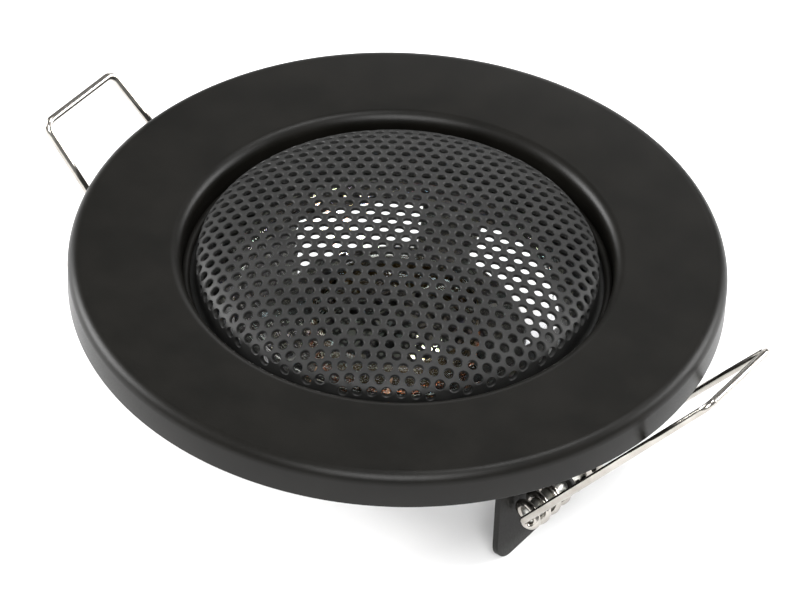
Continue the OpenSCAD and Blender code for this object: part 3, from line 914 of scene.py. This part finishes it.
def clip_path():
    """One wire: half coil, leg, end bar, leg and half coil, about the clip's hinge."""
    angle = leg_angle()
    lag = math.asin(LEG_BEND / (COIL_R - LEG_BEND))
    coil_end = angle - lag
    centre = (COIL_R - LEG_BEND) * in_plane(coil_end)
    steps = int(40 * COIL_TURNS)
    bend_steps = 24

    def half_coil(side):
        points = []
        for i in range(steps + 1):
            u = i / steps
            y = side * (COIL_INNER + (COIL_OUTER - COIL_INNER) * u)
            points.append(COIL_R * in_plane(coil_end + 2 * math.pi * COIL_TURNS * (1 - u)) + Vector((0, y, 0)))
        first, last = coil_end + 2 * math.pi, angle + math.pi / 2
        for i in range(1, bend_steps + 1):
            u = i / bend_steps
            y = side * (COIL_OUTER + (LEG_Y - COIL_OUTER) * u)
            points.append(centre + LEG_BEND * in_plane(first + (last - first) * u) + Vector((0, y, 0)))
        return points

    foot = (COIL_R - LEG_BEND) * math.cos(lag) * in_plane(angle)
    tip = LEG_LEN * in_plane(angle)
    feet = [foot + Vector((0, s * LEG_Y, 0)) for s in (-1, 1)]
    tips = [tip + Vector((0, END_LEAN + s * END_BAR / 2, 0)) for s in (-1, 1)]
    return [
        *half_coil(-1),
        *corner_arc(feet[0], tips[0], tips[1], LEG_CORNER),
        *corner_arc(tips[0], tips[1], feet[1], LEG_CORNER),
        *half_coil(1)[::-1],
    ]


def make_clips():
    """Both clips, and the plain pins that they turn on."""
    path = clip_path()
    pin_r, end, edge = (PIN_HIGH.z - PIN_LOW.z) / 2, PIN_HIGH.y, 0.3
    for side, turn in (("right", 0), ("left", 180)):
        place = turned(turn) @ Matrix.Translation((CLIP_X, 0, CLIP_Z))
        wire = tubes("clip_wire_" + side, [[place @ p for p in path]], WIRE_D / 2, 20)
        settle(wire, LOOK["spring_wire"], "spring_wire", "clip_" + side, "spring_clip_" + side)
        half = [(pin_r, end - edge), (pin_r - edge, end), (0, end)]
        pin = [(r, -z) for r, z in half[::-1]] + half
        across = place @ Matrix.Rotation(math.radians(90), 4, "X")
        make_studs("pin_" + side, "clip_pin_" + side, [pin], [across], "zinc_steel")


# ---------------------------------------------------------------- stage
CAMERA_TURN = 35.2
CAMERA_RISE = 40.46
CAMERA_ROLL = 2.37
CAMERA_AWAY = 600.0
LENS = 223.1
AIM_RIGHT = 0.2
AIM_DOWN = 5.82


def make_camera():
    """The camera looks at the bezel's top face from the photograph's angle."""
    a, e, roll = (math.radians(x) for x in (CAMERA_TURN, CAMERA_RISE, CAMERA_ROLL))
    back = Vector((math.sin(a) * math.cos(e), -math.cos(a) * math.cos(e), math.sin(e)))
    level = (-back).cross(Vector((0, 0, 1))).normalized()
    over = level.cross(-back)
    right = level * math.cos(roll) + over * math.sin(roll)
    up = over * math.cos(roll) - level * math.sin(roll)
    face = Vector((0, 0, BEZEL_H))
    place = face + back * CAMERA_AWAY
    aim = face + right * AIM_RIGHT - up * AIM_DOWN
    behind = (place - aim).normalized()
    right = (up.cross(behind)).normalized()
    up = behind.cross(right)
    data = bpy.data.cameras.new("camera")
    data.sensor_width = 36
    data.lens = LENS
    data.clip_start = 0.01
    camera = bpy.data.objects.new("camera", data)
    camera.matrix_world = axes(place * MM, right, up, behind)
    bpy.context.scene.collection.objects.link(camera)
    bpy.context.scene.camera = camera


def make_floor():
    """A pale floor under the tabs that the loudspeaker stands on."""
    reach, cells = 1500.0, 8
    z = CAD_BOX[0].z / MM
    steps = np.linspace(-reach, reach, cells + 1)
    points = [(x, y, z) for y in steps for x in steps]
    faces = []
    for j in range(cells):
        for i in range(cells):
            k = j * (cells + 1) + i
            faces.append((k, k + 1, k + cells + 2, k + cells + 1))
    floor = new_piece("floor", points, faces)
    material = surface("floor_look", (0.86, 0.86, 0.86), (0.88, 0.88, 0.88), 60.0, (0.7, 0.8), 2.0, 0.002)
    floor.data.materials.append(material)


def make_light(name, size, power, turn, rise, away):
    """A square soft light of that size and distance in metres, turned to the object. Its bearing is as the camera's."""
    a, e = math.radians(turn), math.radians(rise)
    back = Vector((math.sin(a) * math.cos(e), -math.cos(a) * math.cos(e), math.sin(e)))
    data = bpy.data.lights.new(name, "AREA")
    data.size = size
    data.energy = power
    light = bpy.data.objects.new(name, data)
    light.location = back * away
    light.rotation_mode = "QUATERNION"
    light.rotation_quaternion = back.to_track_quat("Z", "Y")
    bpy.context.scene.collection.objects.link(light)


def make_studio():
    """World and lights."""
    world = bpy.data.worlds.new("studio")
    world.use_nodes = True
    world.node_tree.nodes["Background"].inputs["Color"].default_value = (1, 1, 1, 1)
    world.node_tree.nodes["Background"].inputs["Strength"].default_value = 0.33
    bpy.context.scene.world = world
    bpy.context.scene.view_settings.view_transform = "Standard"
    make_light("top_light", 0.34, 6, CAMERA_TURN + 115, 71, 1.1)
    make_light("left_light", 0.5, 16, CAMERA_TURN + 250, 22, 0.9)
    make_light("right_light", 0.5, 10, CAMERA_TURN + 110, 22, 0.9)
    make_light("far_light", 0.2, 0.25, CAMERA_TURN + 172, 20, 0.5)
    make_light("front_light", 0.6, 15, CAMERA_TURN, 48, 1.0)


make_camera()
make_floor()
make_studio()
make_bezel()
make_collar()
make_grille()
make_snap_ring()
make_gasket("front_foam", "front_gasket", 23.6, FRONT_LOW, FRONT_HIGH)
make_gasket("rear_foam", "rear_gasket", 23.0, REAR_LOW, REAR_HIGH)
make_basket()
make_film_parts()
make_coil()
make_motor()
make_rivets()
make_terminals()
make_lead("lead_strands_positive", "lead_positive", 1)
make_lead("lead_strands_negative", "lead_negative", -1)
make_clips()
